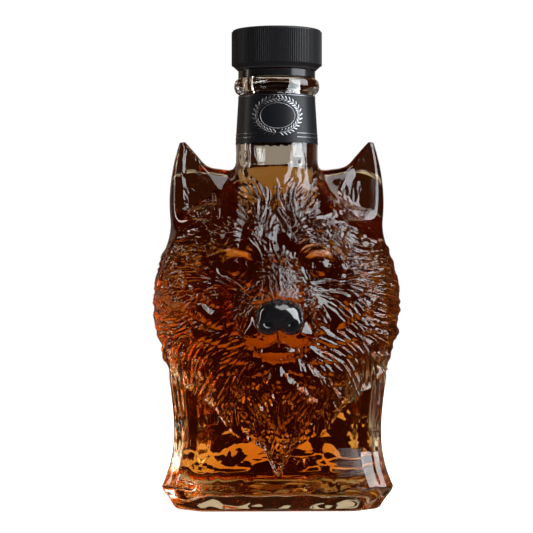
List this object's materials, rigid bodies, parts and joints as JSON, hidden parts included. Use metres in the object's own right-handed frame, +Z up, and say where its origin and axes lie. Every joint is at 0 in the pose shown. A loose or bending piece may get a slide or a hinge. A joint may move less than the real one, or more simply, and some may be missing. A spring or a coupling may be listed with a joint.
{
  "type": "figural liquor decanter",
  "caption": "Moulded clear-glass bottle in the shape of a furry wolf's head on a faceted body, full of amber liquor, closed by a ribbed black screw cap over a loose tamper band.",
  "frame": {"origin": "centre of the flat foot, under the neck's axis", "axes": "+Z up along the neck, the wolf's face looks along -Y, +X to the viewer's right"},
  "size_m": [0.1128, 0.1068, 0.2162],
  "materials": {
    "clear_glass": "polished",
    "liquor": "gloss",
    "label_paper": "satin",
    "band_plastic": "gloss",
    "cap_plastic": "satin",
    "sleeve_plastic": "satin",
    "liner_foam": "matte"
  },
  "bodies": {
    "bottle": {"glass_body": "clear_glass", "liquor": "liquor", "neck_label": "label_paper"},
    "band": {"tamper_band": "band_plastic"},
    "liner": {"cap_liner": "liner_foam"},
    "cap": {"cap_shell": "cap_plastic", "cap_sleeve": "sleeve_plastic"}
  },
  "joints": [
    {"name": "band_spin", "type": "hinge", "parent": "bottle", "child": "band", "pos_m": [0, 0, 0.1958], "axis": [0, 0, 1], "continuous": true},
    {"name": "cap_rise", "type": "slide", "parent": "bottle", "child": "liner", "axis": [0, 0, 1], "range_m": [0, 0.0212]},
    {"name": "cap_turn", "type": "hinge", "parent": "liner", "child": "cap", "pos_m": [0, 0, 0.207], "axis": [0, 0, 1], "range_deg": [0, 1800]}
  ],
  "couplings": [
    {"joint": "cap_rise", "follows": "cap_turn", "m_per_rad": 0.0006737}
  ]
}
